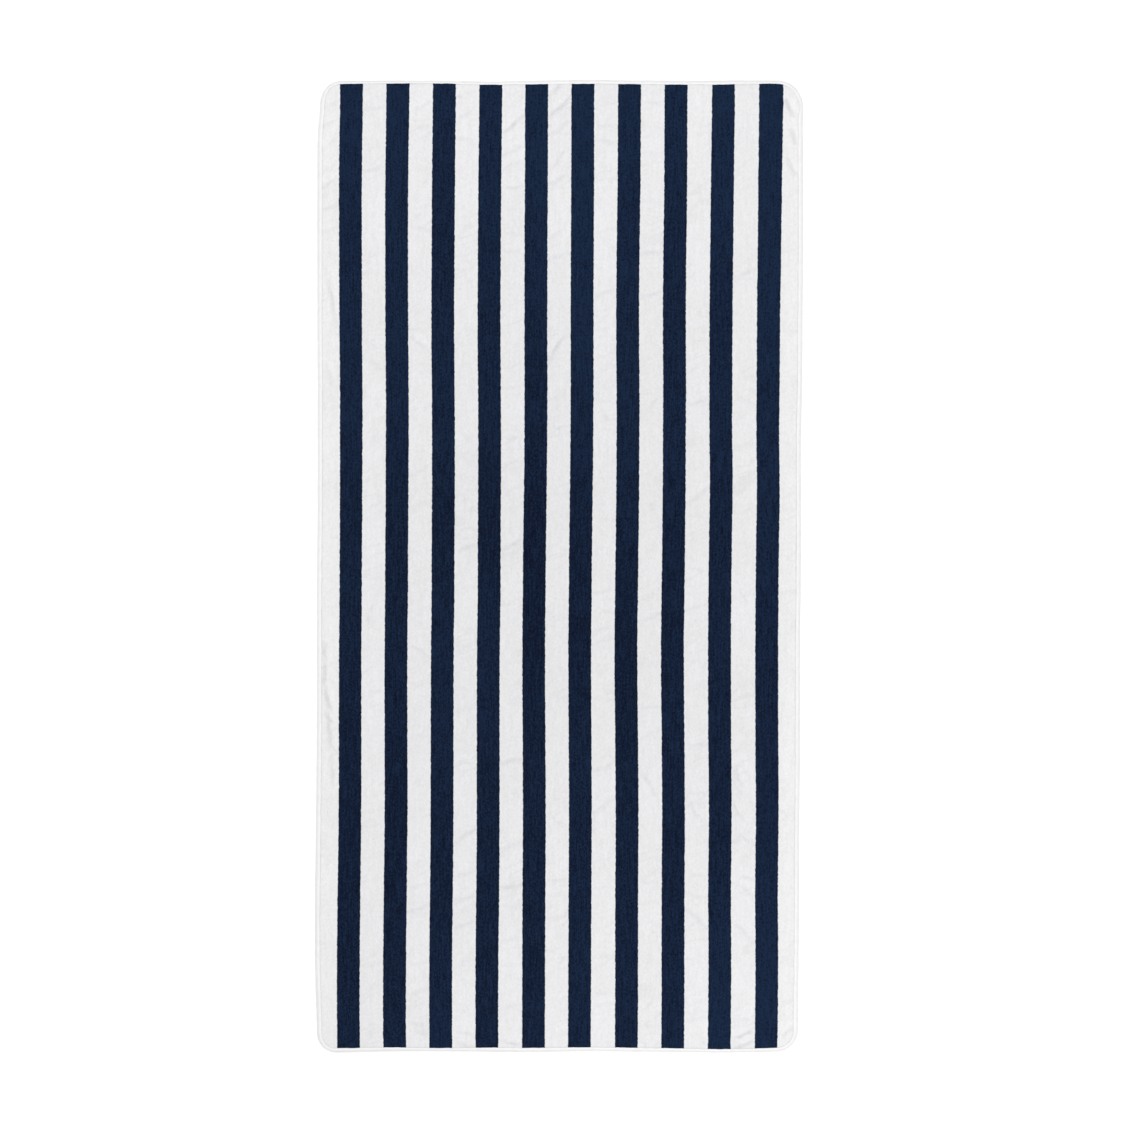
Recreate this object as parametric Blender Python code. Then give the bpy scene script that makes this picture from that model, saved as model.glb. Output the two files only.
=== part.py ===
"""Beach towel laid out flat: a striped terry velour cloth, bound round its edge with a narrow tape.

The towel lies on the plane z = 0, with its length along Y, its head at +Y and its velour face up.
Places on it are first given as on the cut cloth, drawn true and square. The function lie() then
moves them to where the towel lies, a few millimetres out of true, and lift() raises its soft folds.
"""

import math

import bmesh
import bpy
from mathutils import Vector
from mathutils.geometry import delaunay_2d_cdt

# Driving dimensions, in metres. Tables give their lengths in millimetres.
MM = 0.001

TOWEL_WIDTH = 0.8983
TOWEL_LENGTH = 1.8030
CORNER_RADIUS_HEAD_LEFT = 0.041
CORNER_RADIUS_HEAD_RIGHT = 0.046
CORNER_RADIUS_FOOT_LEFT = 0.035
CORNER_RADIUS_FOOT_RIGHT = 0.040

CLOTH_THICKNESS = 0.0030
STRIPE_COUNT = 10
STRIPE_PITCH = 0.0862
STRIPE_WIDTH = 0.0426

TAPE_WIDTH = 0.0075
TAPE_HEIGHT = 0.0034
TAPE_WALL = 0.0006
TAPE_NOSE = 0.0016
TAPE_HOLLOW_START = 0.0013
SEAT_GAP = 0.0003
CLOTH_SWELL = 0.0018

FOLD_RISE = 0.014
FOLD_FALL = 0.034
FOLD_FADE_AT_EDGE = 0.030

# How finely the solids are divided: closer rows and extra lines only where a fold runs.
CORNER_STEPS = 6
SIDE_STEP = 0.045
FINE_ROW_STEP = 0.0095
PLAIN_ROW_EVERY = 4
GRID_MARGIN = 0.008
GRID_SLACK = 0.0001
TAPE_NOSE_ANGLES = (-90, -45, 0, 45, 90)

# The materials' colours, as linear red, green and blue, and their roughness.
WHITE_TERRY = (0.83, 0.83, 0.84)
NAVY_TERRY = (0.009, 0.017, 0.042)
WHITE_TAPE = (0.86, 0.86, 0.86)
TERRY_ROUGHNESS = 0.95
TAPE_ROUGHNESS = 0.85

# How far the lengthwise lines lie to the right of true, from foot to head:
# (height on the towel, at the left edge, along the middle, at the right edge), all in mm.
SIDE_DRIFT = [
    (-900, -2.0, -3.0, -5.8),
    (-788, -2.9, -2.7, -4.5),
    (-639, -3.3, -2.1, -3.6),
    (-491, -1.8, -1.3, -2.9),
    (-342, -0.3, -1.2, -1.7),
    (-156, 0.2, -1.7, -1.4),
    (-45, 0.0, -0.6, -0.3),
    (104, 1.3, 0.5, 0.1),
    (233, 1.3, 1.2, 0.1),
    (326, 1.4, 1.3, 2.2),
    (475, 0.8, 0.9, 3.1),
    (623, 0.8, 1.5, 3.9),
    (772, 1.1, 2.8, 3.6),
    (900, 1.3, 4.2, 3.4),
]

# How far the crosswise lines lie above true, from left to right:
# (place across the towel, at the foot, at the head), all in mm.
END_DRIFT = [
    (-449, -0.9, -1.0),
    (-405, -0.9, -0.8),
    (-313, 0.8, 0.3),
    (-239, 1.1, -0.1),
    (-127, 0.2, -1.6),
    (-53, -0.5, 0.1),
    (59, 0.8, 1.2),
    (151, 0.0, 0.4),
    (244, -0.9, -0.3),
    (318, -1.7, 0.3),
    (393, -0.2, 0.3),
    (449, 0.0, 0.3),
]

# Where the left edge is drawn in near a corner: the middle of the pull, how far it is felt across
# and along the towel, and how far it moves the cloth to the right, all in mm.
EDGE_PULLS = [
    # across, along, felt across, felt along, to the right
    (-449, 868, 50, 80, 4.8),
    (-449, -862, 50, 140, 2.6),
]

# How far each stripe is woven from its even place, from left to right, in mm.
STRIPE_SHIFTS = [0.0, -0.4, -0.5, -0.9, -1.5, -2.1, -2.3, -2.1, -1.4, 0.0]

# The main soft folds, each a crease line with the cloth puffed up along one side of it. The
# middle of the crease, its length and the fold's height are in mm. Its slant is in degrees,
# positive where it rises to the right, and the puffed side is on its left hand when followed.
FOLDS = [
    # across, along, length, height, slant
    (-82, 815, 95, 2.0, 43),
    (3, 852, 75, 1.8, 43),
    (-84, 770, 95, 1.6, 28),
    (5, 758, 110, 2.0, 28),
    (-426, 738, 70, 1.6, 40),
    (430, 854, 70, 1.8, 115),
    (434, 802, 75, 1.8, 112),
    (346, 542, 110, 1.5, 25),
    (-5, 401, 95, 1.4, 60),
    (-345, 375, 95, 1.2, -30),
    (-84, 189, 110, 1.5, 20),
    (-258, 176, 95, 1.5, 30),
    (261, 131, 110, 2.2, 38),
    (-127, 35, 170, 2.2, 18),
    (-435, -140, 200, 2.0, -88),
    (-427, -300, 150, 2.0, -86),
    (83, -116, 130, 2.2, 22),
    (170, -97, 110, 2.0, 20),
    (255, -78, 110, 2.0, 16),
    (-88, -364, 130, 2.2, 11),
    (83, -376, 110, 2.0, 22),
    (83, -446, 110, 2.0, 38),
    (164, -402, 95, 1.6, -60),
    (254, -446, 110, 1.6, -60),
    (335, -416, 110, 1.6, -50),
    (-172, -502, 110, 2.0, 32),
    (-88, -522, 110, 2.0, 27),
    (-88, -597, 110, 2.0, 7),
    (-174, -617, 95, 1.8, 25),
    (-259, -636, 95, 1.8, 22),
    (257, -658, 130, 2.2, -44),
    (345, -684, 110, 2.2, -43),
    (83, -795, 110, 2.0, 6),
    (-265, -856, 80, 1.8, 143),
    (345, -866, 95, 1.8, 22),
]


def between_rows(rows, place, column):
    """The value of a table's column at a place, on a smooth curve through its rows (mm in, mm out)."""
    if place <= rows[0][0]:
        return rows[0][column]
    if place >= rows[-1][0]:
        return rows[-1][column]
    after = next(i for i, row in enumerate(rows) if row[0] > place)
    low, high = rows[after - 1], rows[after]
    before_low = rows[max(after - 2, 0)]
    past_high = rows[min(after + 1, len(rows) - 1)]
    span = high[0] - low[0]
    share = (place - low[0]) / span
    slope_low = (high[column] - before_low[column]) / (high[0] - before_low[0]) * span
    slope_high = (past_high[column] - low[column]) / (past_high[0] - low[0]) * span
    square, cube = share * share, share**3
    return (
        (2 * cube - 3 * square + 1) * low[column]
        + (cube - 2 * square + share) * slope_low
        + (3 * square - 2 * cube) * high[column]
        + (cube - square) * slope_high
    )


def soft_window(offset, reach):
    """1 in the middle, falling smoothly to 0 at the reach and beyond."""
    share = min(abs(offset) / reach, 1.0)
    return math.cos(share * math.pi / 2) ** 2


def out_of_true(x, y):
    """Where a place on the square-cut towel comes to lie, before the whole is centred."""
    left, middle, right = (between_rows(SIDE_DRIFT, y / MM, column) for column in (1, 2, 3))
    foot, head = (between_rows(END_DRIFT, x / MM, column) for column in (1, 2))
    across = x / (TOWEL_WIDTH / 2)
    along = y / TOWEL_LENGTH + 0.5
    sideways = middle + across * (right - left) / 2 + across * across * ((left + right) / 2 - middle)
    for pull_x, pull_y, felt_across, felt_along, shift in EDGE_PULLS:
        felt = soft_window(x / MM - pull_x, felt_across) * soft_window(y / MM - pull_y, felt_along)
        sideways += shift * felt
    lengthways = foot + (head - foot) * along
    return x + sideways * MM, y + lengthways * MM


def stripe_edges():
    """The lengthwise lines where the colour changes, from left to right, on the cut cloth."""
    edges = []
    for number, shift in enumerate(STRIPE_SHIFTS):
        middle = (number - (STRIPE_COUNT - 1) / 2) * STRIPE_PITCH + shift * MM
        edges += [middle - STRIPE_WIDTH / 2, middle + STRIPE_WIDTH / 2]
    return edges


def edge_loop(inset):
    """The cut edge, or a line that runs inside it by inset, anticlockwise from the foot's left corner."""
    right, head = TOWEL_WIDTH / 2, TOWEL_LENGTH / 2
    corners = [
        (-right, -head, CORNER_RADIUS_FOOT_LEFT),
        (right, -head, CORNER_RADIUS_FOOT_RIGHT),
        (right, head, CORNER_RADIUS_HEAD_RIGHT),
        (-right, head, CORNER_RADIUS_HEAD_LEFT),
    ]
    widest = max(radius for _, _, radius in corners)
    inner_edges = [x for x in stripe_edges() if abs(x) < right - widest]
    side_count = round((TOWEL_LENGTH - 2 * widest) / SIDE_STEP)
    side_places = [
        (step / side_count - 0.5) * (TOWEL_LENGTH - 2 * widest) for step in range(1, side_count)
    ]
    points = []
    for number, (corner_x, corner_y, radius) in enumerate(corners):
        centre_x = corner_x - math.copysign(radius, corner_x)
        centre_y = corner_y - math.copysign(radius, corner_y)
        start = math.pi + number * math.pi / 2
        for step in range(CORNER_STEPS + 1):
            angle = start + step / CORNER_STEPS * math.pi / 2
            points.append(
                (
                    centre_x + (radius - inset) * math.cos(angle),
                    centre_y + (radius - inset) * math.sin(angle),
                )
            )
        if number == 0:
            points += [(x, -head + inset) for x in inner_edges]
        elif number == 1:
            points += [(right - inset, y) for y in side_places]
        elif number == 2:
            points += [(x, head - inset) for x in reversed(inner_edges)]
        else:
            points += [(-right + inset, y) for y in reversed(side_places)]
    return points


def centre_of_outline():
    """The middle of the lying towel's outline, which is the part's origin."""
    lying = [out_of_true(x, y) for x, y in edge_loop(0.0)]
    across = [x for x, _ in lying]
    along = [y for _, y in lying]
    return (min(across) + max(across)) / 2, (min(along) + max(along)) / 2


CENTRE_X, CENTRE_Y = centre_of_outline()


def lie(x, y, z):
    """The place in the world of a place on the cut cloth, at a height above the surface."""
    lying_x, lying_y = out_of_true(x, y)
    return Vector((lying_x - CENTRE_X, lying_y - CENTRE_Y, z))


def distance_to_edge(x, y):
    """How far a place on the cut cloth is from the cut edge, the corners taken at their widest radius."""
    radius = CORNER_RADIUS_HEAD_RIGHT
    beyond_x = abs(x) - (TOWEL_WIDTH / 2 - radius)
    beyond_y = abs(y) - (TOWEL_LENGTH / 2 - radius)
    if beyond_x > 0 and beyond_y > 0:
        return radius - math.hypot(beyond_x, beyond_y)
    return radius - max(beyond_x, beyond_y)


def fold_section(crosswise):
    """The height across a fold: a steep rise from the crease to the crest, then a long soft fall."""
    reach = FOLD_RISE if crosswise < FOLD_RISE else FOLD_FALL
    return soft_window(crosswise - FOLD_RISE, reach)


def along_fold(fold, x, y):
    """How far a place is from the middle of a fold's crease, along the crease and across it."""
    across, along, _, _, slant = fold
    angle = math.radians(slant)
    dx = x - across * MM
    dy = y - along * MM
    lengthwise = dx * math.cos(angle) + dy * math.sin(angle)
    crosswise = dy * math.cos(angle) - dx * math.sin(angle)
    return lengthwise, crosswise


def lift(x, y):
    """How high the soft folds raise the cloth off the surface at a place on the cut cloth."""
    raised = 0.0
    for fold in FOLDS:
        _, _, length, height, _ = fold
        lengthwise, crosswise = along_fold(fold, x, y)
        shape = soft_window(lengthwise, length * MM / 2) * fold_section(crosswise)
        raised = max(raised, height * MM * shape)
    clear = (distance_to_edge(x, y) - TAPE_WIDTH) / FOLD_FADE_AT_EDGE
    return raised * max(0.0, min(clear, 1.0))


def on_a_fold(x, y):
    """Whether a place is on a fold, or one fine row outside its crease."""
    for fold in FOLDS:
        _, _, length, _, _ = fold
        lengthwise, crosswise = along_fold(fold, x, y)
        beside = -FINE_ROW_STEP < crosswise < FOLD_RISE + FOLD_FALL
        if beside and abs(lengthwise) < length * MM / 2:
            return True
    return False


def add_material(name, colour, roughness):
    """A plain Principled material of a non-metal."""
    material = bpy.data.materials.new(name)
    material.use_nodes = True
    shader = material.node_tree.nodes["Principled BSDF"]
    shader.inputs["Base Color"].default_value = (*colour, 1.0)
    shader.inputs["Roughness"].default_value = roughness
    shader.inputs["Metallic"].default_value = 0.0
    return material


def add_object(name, mesh, materials):
    """Links a mesh to the scene as one named object."""
    part = bpy.data.objects.new(name, mesh)
    for material in materials:
        mesh.materials.append(material)
    bpy.context.scene.collection.objects.link(part)
    return part


def cloth_plan():
    """The cloth seen flat: its points as (x, y, held in the tape or not), its triangles and its rim."""
    rings = [
        (edge_loop(TAPE_HOLLOW_START + SEAT_GAP), True),
        (edge_loop(TAPE_WIDTH + SEAT_GAP), True),
        (edge_loop(TAPE_WIDTH + SEAT_GAP + CLOTH_SWELL), False),
    ]
    rim_length = len(edge_loop(0.0))
    points = [(x, y, in_tape) for ring, in_tape in rings for x, y in ring]
    lines = []
    for number in range(len(rings)):
        first = number * rim_length
        lines += [(first + i, first + (i + 1) % rim_length) for i in range(rim_length)]

    open_cloth = TAPE_WIDTH + SEAT_GAP + CLOTH_SWELL + GRID_MARGIN
    grid_length = TOWEL_LENGTH - 2 * open_cloth
    row_count = round(grid_length / FINE_ROW_STEP / PLAIN_ROW_EVERY) * PLAIN_ROW_EVERY
    colour_lines = stripe_edges()
    fold_lines = [(low + high) / 2 for low, high in zip(colour_lines, colour_lines[1:])]
    outer_step = (TOWEL_WIDTH / 2 - open_cloth - abs(colour_lines[0])) / 2
    fold_lines += [colour_lines[0] - outer_step, colour_lines[-1] + outer_step]
    for x in colour_lines + fold_lines:
        previous = None
        for row in range(row_count + 1):
            y = (row / row_count - 0.5) * grid_length
            plain_row = x in colour_lines and row % PLAIN_ROW_EVERY == 0
            if distance_to_edge(x, y) < open_cloth - GRID_SLACK or not (plain_row or on_a_fold(x, y)):
                continue
            points.append((x, y, False))
            here = len(points) - 1
            if previous is not None and x in colour_lines:
                lines.append((previous, here))
            previous = here

    flat = [Vector((x, y)) for x, y, _ in points]
    rim = list(range(rim_length))
    inside_triangles = 1
    nearest = 1e-7
    found, _, triangles, sources, _, _ = delaunay_2d_cdt(flat, lines, [rim], inside_triangles, nearest)
    if len(found) != len(points):
        raise ValueError("the cloth's plan has points that meet")
    order = [points[source[0]] for source in sources]
    rim_now = {source[0]: here for here, source in enumerate(sources)}
    return order, triangles, [rim_now[i] for i in rim]


def in_stripe(x):
    """Whether a place across the cut cloth is on a dark stripe."""
    edges = stripe_edges()
    return any(low < x < high for low, high in zip(edges[0::2], edges[1::2]))


def make_cloth(white, navy):
    """The terry velour cloth: one sheet of even thickness, pressed thin where the tape holds it."""
    points, triangles, rim = cloth_plan()
    pressed_low = TAPE_WALL + SEAT_GAP
    pressed_high = TAPE_HEIGHT - TAPE_WALL - SEAT_GAP
    shape = bmesh.new()
    upper, lower = [], []
    for x, y, in_tape in points:
        raised = 0.0 if in_tape else lift(x, y)
        low = pressed_low if in_tape else raised
        high = pressed_high if in_tape else raised + CLOTH_THICKNESS
        upper.append(shape.verts.new(lie(x, y, high)))
        lower.append(shape.verts.new(lie(x, y, low)))
    for corners in triangles:
        middle = sum(points[i][0] for i in corners) / len(corners)
        colour = 1 if in_stripe(middle) else 0
        shape.faces.new([upper[i] for i in corners]).material_index = colour
        shape.faces.new([lower[i] for i in reversed(corners)]).material_index = colour
    for here, after in zip(rim, rim[1:] + rim[:1]):
        shape.faces.new([lower[here], lower[after], upper[after], upper[here]])
    bmesh.ops.recalc_face_normals(shape, faces=shape.faces[:])
    bmesh.ops.triangulate(shape, faces=shape.faces[:])
    mesh = bpy.data.meshes.new("towel_cloth")
    shape.to_mesh(mesh)
    shape.free()
    return add_object("towel_cloth", mesh, [white, navy])


def tape_section():
    """The folded tape's U section as (distance in from the edge, height), once round."""
    middle = TAPE_HEIGHT / 2
    section = [(TAPE_WIDTH, 0.0)]
    for degrees in TAPE_NOSE_ANGLES:
        angle = math.radians(degrees)
        section.append((TAPE_NOSE * (1 - math.cos(angle)), middle * (1 + math.sin(angle))))
    section.append((TAPE_WIDTH, TAPE_HEIGHT))
    section.append((TAPE_WIDTH, TAPE_HEIGHT - TAPE_WALL))
    section.append((TAPE_HOLLOW_START, TAPE_HEIGHT - TAPE_WALL))
    section.append((TAPE_HOLLOW_START, TAPE_WALL))
    section.append((TAPE_WIDTH, TAPE_WALL))
    return section


def make_binding(white):
    """The binding: the tape's section carried once round the towel's edge."""
    shape = bmesh.new()
    lines = []
    for inset, height in tape_section():
        lines.append([shape.verts.new(lie(x, y, height)) for x, y in edge_loop(inset)])
    for line, next_line in zip(lines, lines[1:] + lines[:1]):
        for i in range(len(line)):
            after = (i + 1) % len(line)
            shape.faces.new([line[i], line[after], next_line[after], next_line[i]])
    bmesh.ops.recalc_face_normals(shape, faces=shape.faces[:])
    bmesh.ops.triangulate(shape, faces=shape.faces[:])
    mesh = bpy.data.meshes.new("edge_binding")
    shape.to_mesh(mesh)
    shape.free()
    return add_object("edge_binding", mesh, [white])


def main():
    for existing in list(bpy.data.objects):
        bpy.data.objects.remove(existing)
    white_terry = add_material("white terry velour", WHITE_TERRY, TERRY_ROUGHNESS)
    navy_terry = add_material("navy terry velour", NAVY_TERRY, TERRY_ROUGHNESS)
    white_tape = add_material("white cotton tape", WHITE_TAPE, TAPE_ROUGHNESS)
    make_cloth(white_terry, navy_terry)
    make_binding(white_tape)


main()
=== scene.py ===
# %% [markdown]
# # A striped beach towel, laid out flat
# The towel is one piece of velour terry with ten navy stripes, bound round its edge with a narrow
# white tape. It lies face up and is seen from straight above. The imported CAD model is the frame:
# its two solids say how big the towel is and where its main folds lie. This lesson dresses them
# with the pile, the creases, the tape and its stitches.

import math

import bpy
import numpy as np
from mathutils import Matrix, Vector, noise
from mathutils.geometry import delaunay_2d_cdt


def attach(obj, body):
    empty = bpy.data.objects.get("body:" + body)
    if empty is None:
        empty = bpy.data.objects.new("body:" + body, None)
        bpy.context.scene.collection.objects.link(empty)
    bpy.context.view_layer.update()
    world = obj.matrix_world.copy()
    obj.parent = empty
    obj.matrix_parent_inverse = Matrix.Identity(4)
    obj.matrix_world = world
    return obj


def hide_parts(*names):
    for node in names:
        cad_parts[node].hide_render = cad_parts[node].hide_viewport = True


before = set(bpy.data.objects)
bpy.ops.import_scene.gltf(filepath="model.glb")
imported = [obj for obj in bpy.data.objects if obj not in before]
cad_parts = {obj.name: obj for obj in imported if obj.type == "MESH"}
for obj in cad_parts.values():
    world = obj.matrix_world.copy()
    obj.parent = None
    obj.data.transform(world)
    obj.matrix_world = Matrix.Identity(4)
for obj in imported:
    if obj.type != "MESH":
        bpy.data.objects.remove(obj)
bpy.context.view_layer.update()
print("frame nodes:", sorted(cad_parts))

# %% [markdown]
# ## The towel's sizes
# The cut cloth is 898 by 1803 mm with rounded corners. Its origin is its middle, with Y running
# up to the head end. Lengths in tables are in millimetres, as a sewer would write them, and all
# other lengths are in metres, as Blender wants them.

# %% Sizes
MM = 0.001
TOWEL_WIDTH = 0.8983
TOWEL_LENGTH = 1.8030
CORNERS = [
    # side, end, radius in metres
    (-1, -1, 0.035),
    (1, -1, 0.040),
    (1, 1, 0.046),
    (-1, 1, 0.041),
]
CLOTH_THICKNESS = 0.0030
print(f"cut cloth {TOWEL_WIDTH:.4f} x {TOWEL_LENGTH:.4f} m")

# %% [markdown]
# ## How the towel lies out of true
# A towel that is laid out by hand is never quite square. Its lengthwise lines wander a few
# millimetres to the left and right, its ends aren't quite level, and its left edge is drawn in
# near both corners. The three tables hold that. One could bend the finished mesh with a lattice
# instead, but a table and a function keep every stripe, fold and stitch on the same cloth,
# because all of them pass through it.

# %% Drift tables and the function that lays the cloth
SIDE_DRIFT = [
    # along, left edge, middle, right edge
    (-900, -2.0, -3.0, -5.8),
    (-788, -2.9, -2.7, -4.5),
    (-639, -3.3, -2.1, -3.6),
    (-491, -1.8, -1.3, -2.9),
    (-342, -0.3, -1.2, -1.7),
    (-156, 0.2, -1.7, -1.4),
    (-45, 0.0, -0.6, -0.3),
    (104, 1.3, 0.5, 0.1),
    (233, 1.3, 1.2, 0.1),
    (326, 1.4, 1.3, 2.2),
    (475, 0.8, 0.9, 3.1),
    (623, 0.8, 1.5, 3.9),
    (772, 1.1, 2.8, 3.6),
    (900, 1.3, 4.2, 3.4),
]
END_DRIFT = [
    # across, foot, head
    (-449, -0.9, -1.0),
    (-405, -0.9, -0.8),
    (-313, 0.8, 0.3),
    (-239, 1.1, -0.1),
    (-127, 0.2, -1.6),
    (-53, -0.5, 0.1),
    (59, 0.8, 1.2),
    (151, 0.0, 0.4),
    (244, -0.9, -0.3),
    (318, -1.7, 0.3),
    (393, -0.2, 0.3),
    (449, 0.0, 0.3),
]
EDGE_PULLS = [
    # across, along, felt across, felt along, to the right
    (-449, 868, 50, 80, 4.8),
    (-449, -862, 50, 140, 2.6),
]


def soft_window(offset, reach):
    """1 in the middle, falling smoothly to 0 at the reach and beyond."""
    return np.cos(np.clip(np.abs(offset) / reach, 0, 1) * math.pi / 2) ** 2


def through_rows(rows, places, column):
    """A table's column at many places, on a smooth curve through its rows (mm in, mm out)."""
    table = np.array(rows, dtype=float)
    at, value = table[:, 0], table[:, column]
    slope = np.gradient(value, at)
    slope[1:-1] = (value[2:] - value[:-2]) / (at[2:] - at[:-2])
    places = np.clip(places, at[0], at[-1])
    low = np.clip(np.searchsorted(at, places, side="right") - 1, 0, len(at) - 2)
    span = at[low + 1] - at[low]
    share = (places - at[low]) / span
    square, cube = share**2, share**3
    return (
        (2 * cube - 3 * square + 1) * value[low]
        + (cube - 2 * square + share) * slope[low] * span
        + (3 * square - 2 * cube) * value[low + 1]
        + (cube - square) * slope[low + 1] * span
    )


def out_of_true(x, y):
    """Where places on the square-cut towel come to lie, before the whole is centred."""
    left, middle, right = (through_rows(SIDE_DRIFT, y / MM, column) for column in (1, 2, 3))
    foot, head = (through_rows(END_DRIFT, x / MM, column) for column in (1, 2))
    across = x / (TOWEL_WIDTH / 2)
    along = y / TOWEL_LENGTH + 0.5
    sideways = middle + across * (right - left) / 2 + across**2 * ((left + right) / 2 - middle)
    for pull_x, pull_y, felt_across, felt_along, shift in EDGE_PULLS:
        felt = soft_window(x / MM - pull_x, felt_across) * soft_window(y / MM - pull_y, felt_along)
        sideways = sideways + shift * felt
    return x + sideways * MM, y + (foot + (head - foot) * along) * MM


print(len(SIDE_DRIFT), "rows of side drift,", len(END_DRIFT), "of end drift")

# %% [markdown]
# ## Stations round the cut edge
# The tape, its stitches and the cloth's own edge all follow the same outline. It is walked once,
# anticlockwise, and every station gets a place on the cut edge and the direction into the cloth.
# The stations are 4 mm apart, which is close enough for a smooth corner and a lively edge.

# %% Outline stations
STATION_STEP = 0.0040


def walk_outline():
    """The stations' places on the cut edge, and the direction into the cloth at each."""
    half_size = np.array([TOWEL_WIDTH, TOWEL_LENGTH]) / 2
    places, inward = [], []
    for number, (side, end, radius) in enumerate(CORNERS):
        centre = np.array([side, end]) * (half_size - radius)
        steps = round(radius * math.pi / 2 / STATION_STEP)
        for step in range(steps + 1):
            angle = math.pi + (number + step / steps) * math.pi / 2
            direction = np.array([math.cos(angle), math.sin(angle)])
            places.append(centre + radius * direction)
            inward.append(-direction)
        next_side, next_end, next_radius = CORNERS[(number + 1) % len(CORNERS)]
        next_centre = np.array([next_side, next_end]) * (half_size - next_radius)
        start, finish = places[-1], next_centre - next_radius * inward[-1]
        steps = round(float(np.linalg.norm(finish - start)) / STATION_STEP)
        for step in range(1, steps):
            places.append(start + (finish - start) * step / steps)
            inward.append(inward[-1])
    return np.array(places), np.array(inward)


edge_place, edge_inward = walk_outline()
station_count = len(edge_place)
steps_between = np.linalg.norm(np.roll(edge_place, -1, axis=0) - edge_place, axis=1)
edge_run = np.concatenate([[0.0], np.cumsum(steps_between)])
laid_x, laid_y = out_of_true(*edge_place.T)
CENTRE = np.array([(laid_x.min() + laid_x.max()) / 2, (laid_y.min() + laid_y.max()) / 2])


def lie(x, y, z):
    """The places in the world of places on the cut cloth, at heights above the floor."""
    lying_x, lying_y = out_of_true(x, y)
    return np.column_stack([lying_x - CENTRE[0], lying_y - CENTRE[1], z])


print(f"{station_count} stations round {edge_run[-1]:.3f} m of edge, centre moved {CENTRE / MM} mm")

# %% [markdown]
# ## Folds and creases
# Where the towel was folded and unpacked, the cloth keeps soft folds: a narrow crease where the
# pile is pressed apart, with the cloth puffed up beside it. The main folds are those of the CAD
# solid, raised in the same way. Smaller creases cross the white bands between the stripes, and
# most of them rise to the right. A cloth simulation would make folds of its own choice, so each
# one is placed from a table instead. The creases' places are given on the lying towel.

# %% Fold and crease tables
FOLDS = [
    # across, along, length, height, slant in degrees, depth of its crease, 1 for a deep one
    (-82, 815, 95, 2.0, 43, 0.0),
    (3, 852, 75, 1.8, 43, 1.0),
    (-84, 770, 95, 1.6, 28, 0.5),
    (5, 758, 110, 2.0, 28, 0.0),
    (-426, 738, 70, 1.6, 40, 0.4),
    (430, 854, 70, 1.8, 115, 0.0),
    (434, 802, 75, 1.8, 112, 0.0),
    (346, 542, 110, 1.5, 25, 0.7),
    (-5, 401, 95, 1.4, 60, 1.0),
    (-345, 375, 95, 1.2, -30, 0.3),
    (-84, 189, 110, 1.5, 20, 0.3),
    (-258, 176, 95, 1.5, 30, 0.4),
    (261, 131, 110, 2.2, 38, 0.5),
    (-127, 35, 170, 2.2, 18, 0.0),
    (-435, -140, 200, 2.0, -88, 0.0),
    (-427, -300, 150, 2.0, -86, 0.0),
    (83, -116, 130, 2.2, 22, 0.5),
    (170, -97, 110, 2.0, 20, 0.5),
    (255, -78, 110, 2.0, 16, 0.4),
    (-88, -364, 130, 2.2, 11, 0.7),
    (83, -376, 110, 2.0, 22, 0.6),
    (83, -446, 110, 2.0, 38, 0.5),
    (164, -402, 95, 1.6, -60, 0.5),
    (254, -446, 110, 1.6, -60, 0.0),
    (335, -416, 110, 1.6, -50, 0.2),
    (-172, -502, 110, 2.0, 32, 0.6),
    (-88, -522, 110, 2.0, 27, 0.5),
    (-88, -597, 110, 2.0, 7, 0.6),
    (-174, -617, 95, 1.8, 25, 0.4),
    (-259, -636, 95, 1.8, 22, 0.5),
    (257, -658, 130, 2.2, -44, 0.5),
    (345, -684, 110, 2.2, -43, 0.3),
    (83, -795, 110, 2.0, 6, 0.4),
    (-265, -856, 80, 1.8, 143, 0.0),
    (345, -866, 95, 1.8, 22, 0.0),
]
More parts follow.
